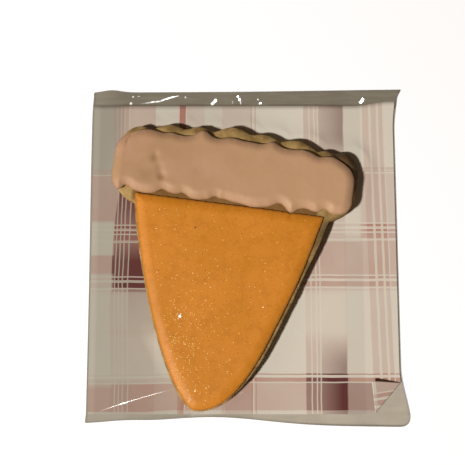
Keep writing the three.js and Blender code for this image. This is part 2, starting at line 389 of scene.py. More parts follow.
class CardSettings(bpy.types.PropertyGroup):
    thickness: FloatProperty(
        name="Thickness", description="Thickness of the card", default=0.0003, min=0.00005, unit="LENGTH")
    fold_radius: FloatProperty(
        name="Fold radius", description="Radius of the folded corner's bend",
        default=0.00045, min=0.0001, unit="LENGTH")
    fold_angle: FloatProperty(
        name="Fold angle", description="How far the corner is turned back",
        default=math.radians(165), subtype="ANGLE")
    paper: FloatVectorProperty(
        name="Paper", description="Colour of the unprinted card",
        default=(0.61, 0.562, 0.478), subtype="COLOR", min=0, max=1)
    pink: FloatVectorProperty(
        name="Pink ink", description="Colour of the plaid's pink bands",
        default=(0.40, 0.205, 0.16), subtype="COLOR", min=0, max=1)
    maroon: FloatVectorProperty(
        name="Maroon ink", description="Colour of the plaid's darkest bands",
        default=(0.10, 0.029, 0.027), subtype="COLOR", min=0, max=1)


class FilmSettings(bpy.types.PropertyGroup):
    height: FloatProperty(
        name="Height over card", description="Height of the film where only the card is under it",
        default=0.00115, min=0.0005, unit="LENGTH")
    drape: FloatProperty(
        name="Drape", description="Distance over which the film slopes down from the biscuit",
        default=0.012, min=0.001, unit="LENGTH")
    tint: FloatVectorProperty(
        name="Tint", description="Colour of the doubled film where nothing lies in it",
        default=(0.183, 0.161, 0.122), subtype="COLOR", min=0, max=1)


class StageSettings(bpy.types.PropertyGroup):
    key: FloatProperty(
        name="Key light", description="Power of the main soft light", default=116.0, min=0, unit="POWER")
    fill: FloatProperty(
        name="Fill light", description="Strength of the light from all round", default=0.1, min=0)
    floor: FloatVectorProperty(
        name="Floor", description="Colour of the floor",
        default=(0.95, 0.955, 0.985), subtype="COLOR", min=0, max=1)


# ---------------------------------------------------------------- finishes

def biscuit_finish(settings):
    material, tree, output = new_material("baked_biscuit")
    vector, _, _, z = place_in_mm(tree)
    cloudy = noise(tree, vector, 5.0, 3)
    crumb = noise(tree, vector, 0.55, 3, 0.65)
    base = layered(
        tree, settings.pale,
        (smooth_step(tree, cloudy, 0.35, 0.7), settings.baked),
        (smooth_step(tree, crumb, 0.5, 0.32, 0, 0.7), settings.baked),
        (smooth_step(tree, z, 2.2, 0.6, 0, 0.75), settings.baked),
        # Painted shade: between the two icings the biscuit is drawn dark, for the shade in the gap
        (product(tree, kept_value(tree, "under"), 0.85), (0.17, 0.075, 0.016)),
        # Painted shade: the crust's right end and the right of the point, below the crust, are drawn darkest
        (product(tree, kept_value(tree, "painted_shade_right"), 0.85), (0.075, 0.04, 0.016)))
    surface(tree, output, {
        "Base Color": base,
        "Roughness": 0.85,
        "Specular IOR Level": 0.25,
        "Normal": bump(tree, crumb, 0.5, 0.25),
    })
    return material


def pumpkin_finish(settings):
    material, tree, output = new_material("pumpkin_icing")
    vector, _, _, _ = place_in_mm(tree)
    base = tuple(settings.pumpkin)
    deep = scaled(base, (0.82, 0.78, 0.8))
    cloudy = noise(tree, vector, 14.0, 2)
    mottled = noise(tree, vector, 0.9, 3, 0.6)
    patchy = noise(tree, vector, 3.5, 2, 0.6)
    base = layered(
        tree, base,
        (smooth_step(tree, cloudy, 0.38, 0.64, 0, 0.75), scaled(base, (1.1, 1.1, 1.5))),
        (smooth_step(tree, patchy, 0.5, 0.32, 0, 0.35), deep),
        (smooth_step(tree, mottled, 0.46, 0.3, 0, 0.7), deep),
        # Painted shade of the rounded edge, and thin icing over the biscuit: darker towards the outline
        (smooth_step(tree, kept_value(tree, "inwards"), 0.25, 0.0, 0, 0.8), scaled(base, (0.62, 0.62, 1.0))))
    fine = noise(tree, vector, 0.35, 2)
    surface(tree, output, {
        "Base Color": base,
        "Roughness": smooth_step(tree, mottled, 0.3, 0.7, 0.45, 0.6),
        "Specular IOR Level": 0.25,
        "Normal": bump(tree, fine, 0.25, 0.08),
    })
    return material


def crust_finish(settings):
    material, tree, output = new_material("crust_icing")
    vector, x, _, _ = place_in_mm(tree)
    base = tuple(settings.crust)
    brown = scaled(base, (0.95, 0.94, 0.9))
    thin_icing_and_painted_shade = scaled(base, (0.6, 0.55, 0.5))
    cloudy = noise(tree, vector, 12.0, 2)
    fine = noise(tree, vector, 0.5, 3)
    base = layered(
        tree, brown,
        (smooth_step(tree, cloudy, 0.35, 0.68), scaled(base, (1.04, 1.0, 1.06))),
        # Painted light: the icing is drawn lighter towards the right
        (smooth_step(tree, x, -50, 40, 0, 0.9), scaled(base, (1.12, 1.12, 1.16))),
        (smooth_step(tree, fine, 0.45, 0.3, 0, 0.12), brown),
        # Painted shade in the dents
        (kept_value(tree, "hollow"), thin_icing_and_painted_shade),
        # Painted shade of the rounded edge, and thin icing over the biscuit: darker towards the outline
        (smooth_step(tree, kept_value(tree, "inwards"), 0.2, 0.0, 0, 0.5), thin_icing_and_painted_shade))
    surface(tree, output, {
        "Base Color": base,
        "Roughness": smooth_step(tree, cloudy, 0.3, 0.7, 0.5, 0.6),
        "Specular IOR Level": 0.25,
        "Normal": bump(tree, fine, 0.2, 0.1),
    })
    return material


def glitter_finish():
    material, tree, output = new_material("sugar_glitter")
    vector, x, y, _ = place_in_mm(tree)
    spread = noise(tree, vector, 1.7, 1)
    base = blend(tree, smooth_step(tree, spread, 0.35, 0.65), (0.80, 0.43, 0.09), (0.92, 0.66, 0.22))
    # Painted glint: the largest grain is drawn near white
    near = product(tree, *(
        smooth_step(tree, calc(tree, "ABSOLUTE", calc(tree, "SUBTRACT", place, middle)), 1.3, 1.1)
        for place, middle in zip((x, y), from_slice(*GLINT_GRAIN))))
    base = blend(tree, near, base, (0.95, 0.88, 0.72))
    surface(tree, output, {"Base Color": base, "Roughness": 0.4, "Specular IOR Level": 0.6})
    return material


def spice_finish():
    material, tree, output = new_material("spice")
    vector, _, _, _ = place_in_mm(tree)
    spread = noise(tree, vector, 2.3, 1)
    base = blend(tree, smooth_step(tree, spread, 0.4, 0.62), (0.30, 0.115, 0.02), (0.11, 0.05, 0.02))
    surface(tree, output, {"Base Color": base, "Roughness": 0.7})
    return material


# How far the print's tables reach along x and along y
PRINT_X = (-66, 66)
PRINT_Y = (-68, 68)
# Ink of the plaid along x and along y: start of each band and its share of pink
PINK_ACROSS = (
    (-64, 0.12), (-55.2, 0.55), (-47.9, 0.5), (-37.8, 0.05), (-28.1, 1.2), (-25.6, 0.3), (-17.9, 0.08),
    (-10.7, 0.32), (1.1, 0.7), (1.8, 0.08), (2.6, 0.55), (3.2, 0.05), (22.9, 0.5), (29.3, 0.42),
    (39.5, 0.1), (48.9, 0.5), (57.7, 0.08))
PINK_ALONG = (
    (-66, 0.1), (-62.35, 0.62), (-51.1, 1.0), (-49.55, 0.2), (-48.7, 0.9), (-48.05, 0.03), (-15.15, 0.35),
    (-14.4, 0.1), (-13.3, 0.65), (-11.6, 0.3), (-10.1, 0.65), (-9.4, 0.1), (-8.65, 0.55), (5.3, 0.2),
    (6.1, 0.7), (8.0, 0.1), (8.85, 0.8), (9.75, 0.1), (10.8, 0.8), (11.8, 0.1), (12.45, 0.55),
    (32.7, 0.1), (33.2, 0.7), (34.0, 0.3), (34.5, 0.7), (35.25, 0.03))
# White threads: middle and width
THREADS_ACROSS = (
    (-53.6, 0.4), (-51.9, 0.6), (-50.3, 0.5), (-48.4, 0.7), (-25.2, 0.5), (2.2, 0.5), (25.5, 0.5),
    (27.1, 0.5), (28.7, 0.6), (51.9, 1.1), (55.1, 1.1), (57.3, 0.5))
THREADS_ALONG = (
    (-51.35, 0.6), (-49.15, 0.6), (-13.95, 0.6), (-10.8, 1.0), (-9.0, 0.5), (5.55, 0.5), (8.4, 0.5),
    (10.25, 0.5), (12.2, 0.5), (32.9, 0.5))
# The two wide bands, which deepen across their width
WIDE_BANDS = (
    (-66, 0), (-48.0, 0), (-47.9, 0.85), (-37.8, 0.9), (-37.7, 0), (29.2, 0), (29.3, 0.35), (39.4, 1.0),
    (39.5, 0))
# Along y: how far painted glare of the film pales the bands left of the slice, how far they lean over, how
# far painted glare pales them at the far left, and how far it pales those at the right
GLARE_PALING_LEFT = ((-68, 0.6), (-52, 0.7), (-49, 0.7), (-34, 0.62), (-25, 0))
LEAN_LEFT = ((-64, 0.8), (-50, 0.8), (-20, 0), (-10.6, 0), (23.9, 1.0), (40, 1.0), (48, 0))
GLARE_PALING_FAR_LEFT = (
    (-54, 0), (-51, 0.8), (-47, 0.8), (-44, 0), (-18, 0), (-14, 0.6), (-8.5, 0.6), (-8, 0), (-0.9, 0),
    (-0.5, 0.9), (12.6, 0.9), (13.4, 0))
GLARE_PALING_RIGHT = ((-68, 0), (-36, 0), (-30, 0.55), (-17, 0.55), (-14, 0))
# How rosy the bottom strip is along x
ROSY_ACROSS = ((-66, 0), (-9, 0.12), (1.2, 0), (39.6, 0.4), (49.6, 0.1))
# Painted shade: how light the paper and pink are drawn along x, darkest at the left
PAINTED_SHADE_ACROSS = (
    (-62, 0), (-50, 0.045), (-40, 0.13), (-20, 0.42), (0, 0.72), (20, 0.9), (29, 1), (39.4, 1), (39.6, 0.76),
    (46.3, 0.76), (46.8, 1), (58, 1.0), (60, 1.0))
# Painted light: how much lighter the card is drawn close to the slice's left side, along y
PAINTED_LIGHT_NEAR_SLICE = ((-55, 0), (-48, 0.4), (-36, 0.5), (-24, 0))
# How deep the left patch is along y
DEEP_LEFT = (
    (-34, 0), (-24, 0.25), (-15.5, 0.5), (-15.1, 1.0), (-3, 1.0), (3, 0.6), (5.3, 0.4), (12, 0.6), (18, 0.85),
    (24, 1.0), (36, 1.0), (40, 0))


def thread_stops(threads, low):
    stops = [(low, 0.0)]
    for middle, width in threads:
        stops += [(middle - width / 2, 1.0), (middle + width / 2, 0.0)]
    return stops


def card_finish(settings):
    """Plaid of soft pink bands and white threads, which deepens to maroon in two places; elsewhere painted
    glare of the film pales it, and the card carries painted light and shade.
    """
    material, tree, output = new_material("plaid_card")
    # The print's own place on the flat card, so that it turns over with the folded corner
    vector = kept_value(tree, "print_place", "Vector")
    x, y, _ = add_node(tree, "ShaderNodeSeparateXYZ", {0: vector}).outputs

    def times(*values):
        return product(tree, *values)

    def step_x(*limits):
        return smooth_step(tree, x, *limits)

    def step_y(*limits):
        return smooth_step(tree, y, *limits)

    def over_x(stops, how="LINEAR", place=x):
        return bands(tree, place, *PRINT_X, stops, how)

    def over_y(stops, how="LINEAR", place=y):
        return bands(tree, place, *PRINT_Y, stops, how)

    def past(line):
        """Where x is past a line, with a crisp edge."""
        return smooth_step(tree, calc(tree, "SUBTRACT", x, line), -0.2, 0.4)

    def rest_of(share):
        return calc(tree, "SUBTRACT", 1.0, share)

    # The bands wander a little, and lean at both sides
    wobble = calc(tree, "MULTIPLY_ADD", noise(tree, vector, 9.0, 2), 0.5, -0.25)
    lean_left = times(over_y(LEAN_LEFT), step_x(-34, -38))
    lean_right = times(line_step(tree, y, -50, 50, -0.9, 1.5), step_x(40, 46))
    across = joined(tree, "ADD", x, wobble, calc(tree, "SUBTRACT", lean_right, lean_left))
    drop_left = times(line_step(tree, y, -15, 10, 0.6, 1.0), step_x(-30, -42))
    along = joined(tree, "ADD", y, wobble, drop_left)

    # Left edge of the deep patch, which curves
    left_edge = calc(tree, "MULTIPLY_ADD", calc(tree, "POWER", calc(tree, "ADD", y, 8.0), 2.0), 0.0022, -54.8)
    past_edge = past(left_edge)
    # Painted glare of the film pales the pink bands along x left of the slice, left of the deep patch and
    # right of the slice
    pale = highest(
        tree,
        times(over_y(GLARE_PALING_LEFT), step_x(-20, -30)),
        times(step_x(-50, -50.5), step_y(40, 36), rest_of(past_edge), step_y(-16, -15)),
        times(over_y(GLARE_PALING_RIGHT), step_x(46, 44)))
    pink_x = times(over_x(PINK_ACROSS, "CONSTANT", across), rest_of(pale))
    # Painted glare of the film: at the left the pink along y is paled for some way, and at the right it is
    # fainter
    glare_paling = highest(
        tree,
        times(step_x(-53.4, -54.4), over_y(GLARE_PALING_FAR_LEFT)),
        times(step_x(45, 47, 0.9, 0.35), step_x(20, 22), step_y(12.0, 12.6)),
        times(step_x(47, 45, 0, 0.6), step_x(20, 22), step_y(4.6, 5.2)),
        times(step_x(-24, -27, 0, 0.75), step_y(-52.0, -51.8), step_y(-46, -48)))
    pink_y = times(over_y(PINK_ALONG, "CONSTANT", along), rest_of(glare_paling))
    threads = highest(
        tree,
        over_x(thread_stops(THREADS_ACROSS, PRINT_X[0] + 1), "CONSTANT", across),
        over_y(thread_stops(THREADS_ALONG, PRINT_Y[0] + 1), "CONSTANT", along))

    # Deep patches, left of the slice and at the bottom right: places drawn free of the painted glare, where
    # the print shows maroon
    right_edge = calc(tree, "MULTIPLY_ADD", step_y(-45, -31), 2.2, 22.8)
    deep = highest(
        tree,
        times(past_edge, step_x(-30, -34), over_y(DEEP_LEFT)),
        times(past(right_edge), step_x(40.8, 40.0), step_y(-31, -46)))
    block = highest(tree, pink_x, pink_y)
    both = times(pink_x, pink_y)
    pink_share = calc(tree, "ADD", times(block, 0.8), times(both, 0.9), clamp=True)
    wide = over_x(WIDE_BANDS, "LINEAR", across)
    # Pink over pink turns to maroon, less so at the right
    strength = highest(tree, line_step(tree, x, -10, -20, 0, 2.9), line_step(tree, x, 29, 40, 1.5, 2.0))
    wide_strength = line_step(tree, x, 0, 10, 0.4, 0.58)
    deepest = calc(tree, "MULTIPLY_ADD", both, strength, times(wide, wide_strength), clamp=True)
    maroon_share = highest(
        tree,
        times(deep, deepest),
        # A softer deep band at the top right, also drawn free of the painted glare
        times(wide, step_x(20, 24), step_y(36, 50, 0, 0.6)),
        # A rosier strip along the bottom
        times(over_x(ROSY_ACROSS, "CONSTANT"), step_y(-50.8, -51.4)))

    # Painted light and shade: the paper and pink are drawn darker towards the left, and lighter at the right,
    # close to the slice and near the top
    slice_side = calc(tree, "MULTIPLY_ADD", y, -0.4, -51.9)
    painted_light_near_slice = times(
        smooth_step(tree, calc(tree, "SUBTRACT", x, slice_side), -7, 1),
        over_y(PAINTED_LIGHT_NEAR_SLICE), step_x(0, -10))
    shade = highest(
        tree, over_x(PAINTED_SHADE_ACROSS), painted_light_near_slice,
        times(step_y(40, 50, 0, 0.6), step_x(-53, -46)),
        times(step_y(4, 8), step_y(36, 33), step_x(30, 34)))
    # Painted shade: darker copies of the paper and the pink for the dim left side
    paper = blend(tree, shade, scaled(settings.paper, (0.60, 0.60, 0.585)), settings.paper)
    pink = blend(tree, shade, scaled(settings.pink, (0.68, 0.48, 0.44)), settings.pink)
    inked = smooth_step(tree, noise(tree, vector, 16.0, 2), 0.3, 0.7, 0.85, 1.0)
    # Painted shade: the card is drawn greyer over the top left, where the film lies doubled
    painted_film_shade = times(step_x(-51, -56, 0, 0.85), step_y(31.5, 34.5))
    print_now = layered(
        tree, paper,
        (inked, blend(tree, pink_share, paper, pink)),
        (maroon_share, settings.maroon),
        (times(threads, 0.7), paper),
        (painted_film_shade, scaled(settings.paper, (0.47, 0.46, 0.44))))
    surface(tree, output, {
        "Base Color": print_now,
        "Roughness": 0.7,
        "Specular IOR Level": 0.1,
        "Normal": bump(tree, noise(tree, vector, 0.25, 3), 0.15, 0.05),
    })
    return material


# Small facets in the film that mirror the lamp: middle, half length, half width, direction in degrees
# and brightness
GLINTS = (
    (-28.8, -64.3, -0.1, -0.05, 20, 0.2), (-2.6, -55.2, 0.9, 0.05, 40, 0.4),
    (-47.1, 65.1, 0.35, 0.35, 40, 0.06), (-44.8, 65.4, 0.5, 0.12, 5, 0.05), (-47.9, 62.2, 0.5, 0.55, 60, 0.3),
    (-42.9, 62.2, 1.1, 0.12, 12, 0.08), (-41.0, 62.5, 1.2, 0.2, 12, 0.2), (-39.0, 62.9, 1.2, 0.2, 10, 0.3),
    (-36.9, 63.1, 1.2, 0.2, 8, 0.3), (-34.8, 63.7, 1.2, 0.2, 24, 0.3), (-32.8, 64.4, 1.2, 0.2, 20, 0.3),
    (-30.8, 65.0, 1.2, 0.15, 16, 0.25), (-28.9, 65.5, 0.9, 0.12, 14, 0.1), (-25.4, 64.9, 0.35, 0.4, 80, 0.05),
    (-14.2, 62.3, 0.85, 0.6, 45, 0.4), (-13.1, 63.5, 0.8, 0.6, 60, 0.4), (-3.8, 65.2, 0.5, 0.35, 30, 0.3),
    (-3.1, 63.9, 0.5, 0.55, 70, 0.4), (-2.7, 62.6, 0.14, 0.8, 0, 0.2), (-6.0, 62.8, 0.12, 0.8, 0, 0.08),
    (5.5, 62.4, 0.55, 0.25, 15, 0.25), (4.5, 64.1, 0.12, 0.3, 0, 0.08), (47.0, 62.9, 0.7, 0.65, 60, 0.4),
    (47.8, 64.0, 0.7, 0.65, 60, 0.4))
# Taut crease from the bottom left corner up to the slice, and how far along it is brightest
CREASE = ((-58.8, -62.6), (-30.6, -54.0))
CREASE_BRIGHTEST = 10.9


def mirror_slope(x, y):
    """How steeply the film rises along x and along y where it mirrors the lamp to the camera."""
    point = Vector((x, y, 1.5)) * MM
    half = (EYE - point).normalized() + (LAMP - point).normalized()
    return np.array((-half.x / half.z, -half.y / half.z))


# A facet's lean along x and y in the middle of the bag, and how each turns with x and with y
FACET_LEAN = mirror_slope(0, 0)
FACET_TURN = (
    (mirror_slope(50, 0)[0] - mirror_slope(-50, 0)[0]) / 100,
    (mirror_slope(0, 60)[1] - mirror_slope(0, -60)[1]) / 120)


def film_finish():
    """Clear glossy film: see-through, with the lamp and the room mirrored more at shallow angles."""
    material, tree, output = new_material("clear_film")
    _, x, y, _ = place_in_mm(tree)
    rim = kept_value(tree, "rim")
    cling = kept_value(tree, "cling")
    # In a facet the film's normal halves the angle from the camera to the lamp
    lean_x = calc(tree, "MULTIPLY_ADD", x, -FACET_TURN[0], -FACET_LEAN[0])
    lean_y = calc(tree, "MULTIPLY_ADD", y, -FACET_TURN[1], -FACET_LEAN[1])
    facet_normal = add_node(tree, "ShaderNodeCombineXYZ", {0: lean_x, 1: lean_y, 2: 1.0}).outputs[0]
    own_normal = add_node(tree, "ShaderNodeNewGeometry").outputs["Normal"]
    normal = add_node(
        tree, "ShaderNodeMix", {0: kept_value(tree, "facet"), 4: own_normal, 5: facet_normal},
        data_type="VECTOR").outputs[1]
    normal = add_node(tree, "ShaderNodeVectorMath", {0: normal}, operation="NORMALIZE").outputs[0]
    clear = add_node(tree, "ShaderNodeBsdfTransparent", {"Color": (0.985, 0.985, 0.98, 1)}).outputs[0]
    gloss = add_node(tree, "ShaderNodeBsdfPrincipled", {
        "Base Color": (1, 1, 1, 1),
        "Metallic": 1.0,
        "Roughness": calc(tree, "MULTIPLY_ADD", cling, 0.3, 0.1),
        "Normal": normal,
    }).outputs[0]
    facing = add_node(tree, "ShaderNodeLayerWeight", {"Blend": 0.5}).outputs["Facing"]
    steep = calc(tree, "MULTIPLY", calc(tree, "POWER", facing, 5.0), 0.5)
    mirrored = calc(tree, "MULTIPLY_ADD", kept_value(tree, "shine"), 0.035, steep, clamp=True)
    sheet = add_node(tree, "ShaderNodeMixShader", {0: mirrored, 1: clear, 2: gloss})
    # Painted shade: a dark colour along the bag's rim stands for its dark folded edge
    edge = add_node(tree, "ShaderNodeBsdfPrincipled", {
        "Base Color": (0.10, 0.08, 0.06, 1),
        "Roughness": 0.3,
    }).outputs[0]
    final = add_node(tree, "ShaderNodeMixShader", {0: rim, 1: sheet.outputs[0], 2: edge})
    tree.links.new(final.outputs[0], output.inputs["Surface"])
    material.surface_render_method = "BLENDED"
    return material


def back_film_finish(settings):
    """The film behind the card, where it shows: doubled, slightly smoky and creased."""
    material, tree, output = new_material("back_film")
    vector, x, y, _ = place_in_mm(tree)
    cloudy = noise(tree, vector, 12.0, 3)
    dark = tuple(settings.tint)
    pale_left, pale_right = scaled(dark, (1.95, 1.95, 2.05)), scaled(dark, (2.6, 2.6, 2.8))
    pale = blend(tree, smooth_step(tree, x, -15, 25), pale_left, pale_right)
    # Painted shade in the gap above the card's top edge, and the streaks along the header
    painted_gap_shade = product(tree, smooth_step(tree, y, 62.7, 61.9), smooth_step(tree, y, 60.9, 61.3))
    streaks = add_node(
        tree, "ShaderNodeVectorMath", {0: vector, 1: (0.12, 1.0, 1.0)}, operation="MULTIPLY").outputs[0]
    streaky = smooth_step(tree, noise(tree, streaks, 1.6, 3, 0.6), 0.42, 0.7, 0, 0.55)
    in_header = smooth_step(tree, y, 58, 60, 0.3, 1.0)
    tone = layered(
        tree, dark,
        (smooth_step(tree, y, 61.0, 60.0), pale),
        (product(tree, painted_gap_shade, 0.6), scaled(dark, (0.5, 0.38, 0.32))),
        (product(tree, streaky, in_header), scaled(dark, (1.45, 1.42, 1.45))),
        (smooth_step(tree, x, -50, -62, 0, 0.35), pale),
        (smooth_step(tree, cloudy, 0.3, 0.7, 0, 0.25), scaled(dark, (1.3, 1.3, 1.3))))
    clear = add_node(tree, "ShaderNodeBsdfTransparent", {"Color": (1, 1, 1, 1)}).outputs[0]
    smoky = add_node(tree, "ShaderNodeBsdfPrincipled", {
        "Base Color": tone,
        "Roughness": 0.3,
        "Specular IOR Level": 0.5,
    }).outputs[0]
    final = add_node(tree, "ShaderNodeMixShader", {0: 0.93, 1: clear, 2: smoky})
    tree.links.new(final.outputs[0], output.inputs["Surface"])
    material.surface_render_method = "BLENDED"
    return material


def floor_finish(settings):
    material, tree, output = new_material("pale_floor")
    vector, _, _, _ = place_in_mm(tree)
    cloudy = noise(tree, vector, 300.0, 2)
    base = blend(tree, cloudy, scaled(settings.floor, (0.99, 0.99, 0.99)), settings.floor)
    surface(tree, output, {"Base Color": base, "Roughness": 0.9, "Specular IOR Level": 0.1})
    return material


# ---------------------------------------------------------------- pieces

class BISCUIT_OT_bake(bpy.types.Operator):
    """Bake the biscuit: its solid with a crumbly skin"""
    bl_idname = "packed_biscuit.bake"
    bl_label = "Biscuit"

    def execute(self, context):
        settings = context.scene.packed_biscuit
        swell = context.scene.packed_icing.swell / MM
        mesh = fine_mesh("biscuit", 0.55, 3)
        points, normals = mesh_points(mesh), mesh_normals(mesh)
        depth = settings.crumb_depth / MM
        u, v = to_slice(points[:, 0], points[:, 1])
        # The crust's rim is rounder than the slice's
        share = (0.13 + 0.1 * ramp(v + 22, 10)) * (0.35 + 0.65 * ramp(u + 44, 8))
        domed(points, normals, 3.0, share + 0.2 * ramp(u - 36, 5) * ramp(v, 5))
        # Painted shade in the gap between the two icings
        under = ramp(v + 17, 1.5) * ramp(-8 - v, 1.5) * ramp(u + 40.5, 1.5) * ramp(35.5 - u, 1.5)
        # Painted shade at the crust's right end and at the right of the point, below the crust
        painted_shade_right = ramp(u - 36.5, 2.5) * ramp(v + 4, 5) + 0.75 * ramp(u - 28, 3) * bell(v, -20, 7)
        skin = 1.2 * grain(points, 5.0, 11) + 0.7 * grain(points, 1.8, 12) + 0.5 * grain(points, 0.9, 13)
        pits = -1.3 * ramp(grain(points, 1.3, 14) - 0.45, 0.3)
        points = points + normals * (swell + depth * (skin + pits))[:, None]
        points[:, 2] = np.maximum(points[:, 2], BISCUIT_LEVEL)
        set_mesh_points(mesh, points)
        set_value(mesh, "under", under)
        set_value(mesh, "painted_shade_right", painted_shade_right)
        piece = new_piece("baked_biscuit", mesh, biscuit_finish(settings))
        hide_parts("biscuit")
        return {"FINISHED"}


def crust_relief(u, v):
    """Ridges, dents and piped drips in the crust's icing, from its place in the slice's frame."""
    total = 0.12 * grain(np.stack((u, v), 1), 9.0, 21)
    # Dents and grooves: place, reach along and across, depth
    for at, up, wide, tall, height in (
            (-32.3, 1.6, 1.5, 2.0, -0.6), (-30.2, -2.4, 1.6, 2.2, -0.35), (-28.6, -5.8, 1.6, 1.7, -0.65),
            (-34.0, -5.0, 4.0, 3.6, -0.4), (-25.0, -0.5, 3.0, 4.5, 0.12), (-14.5, -2.4, 4.0, 4.0, -0.25),
            (-6.0, 2.0, 5.0, 7.0, 0.1), (14.0, 1.0, 5.0, 7.0, 0.1), (33.0, 1.0, 5.0, 6.0, 0.1),
            (-44.4, 6.8, 0.55, 1.8, -0.45), (-43.5, 9.6, 0.55, 1.8, -0.45)):
        total = total + height * bell(u, at, wide) * bell(v, up, tall)
    return total


class BISCUIT_OT_ice(bpy.types.Operator):
    """Ice the biscuit: smooth pumpkin icing on the point, thick uneven icing on the crust"""
    bl_idname = "packed_biscuit.ice"
    bl_label = "Icings"

    def execute(self, context):
        settings = context.scene.packed_icing
        swell = settings.swell / MM

        mesh = fine_mesh("pumpkin_icing", 0.5, 2)
        points, normals = mesh_points(mesh), mesh_normals(mesh)
        lift = swell + 0.07 * grain(points, 9.0, 31) + 0.02 * grain(points, 2.2, 32)
        inwards = domed(points, normals, 4.2, 0.8)
        set_mesh_points(mesh, points + normals * lift[:, None])
        set_value(mesh, "inwards", inwards)
        piece = new_piece("pumpkin_icing_top", mesh, pumpkin_finish(settings))
        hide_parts("pumpkin_icing")

        mesh = fine_mesh("crust_icing", 0.45, 2)
        points, normals = mesh_points(mesh), mesh_normals(mesh)
        u, v = to_slice(points[:, 0], points[:, 1])
        top = ramp(normals[:, 2] - 0.3, 0.6)
        relief = crust_relief(u, v)
        lift = swell + top * settings.relief * relief + 0.03 * grain(points, 1.8, 33)
        inwards = domed(points, normals, 3.6, 0.62)
        set_mesh_points(mesh, points + normals * lift[:, None])
        set_value(mesh, "inwards", inwards)
        # Painted shade in the dents, for the finish to darken
        set_value(mesh, "hollow", np.clip(-0.15 - relief, 0, 1))
        piece = new_piece("crust_icing_top", mesh, crust_finish(settings))
        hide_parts("crust_icing")
        return {"FINISHED"}


def scattered(count, seed, density):
    """Seeded places on the pumpkin icing in the slice's frame, kept by a density from 0 to 1."""
    rng = np.random.default_rng(seed)
    tip_x, tip_y = SLICE_TIP
    found = []
    while len(found) < count:
        up = rng.uniform(0.03, 1)
        side = rng.uniform(-1, 1)
        y = tip_y + up * (-15.5 - tip_y)
        x = tip_x * (1 - up) + side * 33 * up ** 0.62
        if rng.uniform(0, 1) < density(side, up):
            found.append((x, y))
    return found


def resting(places, sizes):
    """x, y and height of each place on the pumpkin icing, with its size; none past the icing's edge."""
    trees = surface_of([bpy.data.objects["pumpkin_icing_top"]])
    spots = np.array([from_slice(*place) for place in places])
    for (x, y), z, size in zip(spots, heights_at(trees, spots, -1), sizes):
        if z >= ICING_LEVEL:
            yield x, y, z, size


def plate(builder, centre, radius, thickness, spin, sides):
    """Adds a small flat many-sided plate to a bmesh, all in metres."""
    rim = [
        (radius * math.cos(2 * math.pi * i / sides), radius * math.sin(2 * math.pi * i / sides))
        for i in range(sides)]
    low, high = (
        [builder.verts.new(centre + spin @ Vector((*corner, half * thickness))) for corner in rim]
        for half in (-0.5, 0.5))
    builder.faces.new(list(reversed(low)))
    builder.faces.new(high)
    for i in range(sides):
        k = (i + 1) % sides
        builder.faces.new((low[i], low[k], high[k], high[i]))


def scattered_piece(name, builder, material):
    """Makes a piece of what was scattered on the pumpkin icing."""
    mesh = bpy.data.meshes.new(name)
    builder.to_mesh(mesh)
    builder.free()
    new_piece(name, mesh, material)


# The sugar grains that show best: place in the slice's frame, and size in flakes
BOLD_GRAINS = (
    (*GLINT_GRAIN, 3.8), (-1.7, -38.5, 1.5), (-11.0, -42.6, 1.4), (-18.9, -45.5, 1.4), (16.9, -38.1, 1.5),
    (13.8, -44.8, 1.3), (17.9, -52.2, 1.3), (-6.7, -87.6, 1.7), (-4.0, -87.6, 1.6), (0.0, -85.9, 1.6),
    (-9.4, -82.9, 1.5), (-15.5, -70.2, 1.5), (-5.8, -89.4, 1.4), (-13.6, -59.3, 1.8))
# The largest speck of spice: its place in the slice's frame, and its radius in metres
LARGE_SPECK = (-12.7, -24.6)
LARGE_SPECK_RADIUS = 0.00042


class BISCUIT_OT_sprinkle(bpy.types.Operator):
    """Sprinkle sugar glitter and spice specks on the pumpkin icing"""
    bl_idname = "packed_biscuit.sprinkle"
    bl_label = "Glitter and spice"

    def execute(self, context):
        settings = context.scene.packed_icing
        rng = np.random.default_rng(41)

        flakes = bmesh.new()
        places = scattered(
            settings.glitter_count, 42,
            lambda side, up: 0.16 + 0.8 * bell(side, -0.5, 0.5) * bell(up, 0.35, 0.36))
        sizes = rng.uniform(0.5, 1.1, len(places)) * settings.flake_size
        places += [(x, y) for x, y, _ in BOLD_GRAINS]
        sizes = [*sizes, *(size * settings.flake_size for _, _, size in BOLD_GRAINS)]
        for x, y, z, size in resting(places, sizes):
            axis = Vector((rng.normal(), rng.normal(), 0)).normalized()
            turn = UP.rotation_difference((UP + axis * rng.uniform(0, 0.5)).normalized())
            centre = Vector((x * MM, y * MM, z * MM + 0.00003))
            plate(flakes, centre, size / 2, size * 0.35, turn.to_matrix(), 6)
        scattered_piece("sugar_glitter", flakes, glitter_finish())

        specks = bmesh.new()
        places = scattered(settings.spice_count, 43, lambda side, up: 0.3 + 0.7 * bell(up, 0.65, 0.35))
        sizes = [*rng.uniform(0.00009, 0.0002, len(places)), LARGE_SPECK_RADIUS]
        places.append(LARGE_SPECK)
        for x, y, z, size in resting(places, sizes):
            for vert in bmesh.ops.create_icosphere(specks, subdivisions=1, radius=size)["verts"]:
                vert.co *= 1 + rng.uniform(-0.2, 0.25)
                vert.co.z *= 0.45
                vert.co += Vector((x * MM, y * MM, z * MM + size * 0.1))
        scattered_piece("spice_specks", specks, spice_finish())
        return {"FINISHED"}


def side_pull(side, x, y):
    """How far each side of the bag is drawn in: bottom, right, top, left."""
    if side == 0:
        return 3.0 * bell(x, -13, 28) + 0.85 * bell(x, -49, 11)
    if side == 1:
        return 3.4 * ramp(y + 68, 22) * (0.45 * ramp(69.5 - y, 5) + 0.55 * ramp(70 - y, 19))
    if side == 2:
        return 0.3 * bell(x, 0, 50) - bell(x, -56, 5)
    return 0.4 * ramp(y + 68, 5) - 0.5 * bell(y, 45, 45) * ramp(68 - y, 10)


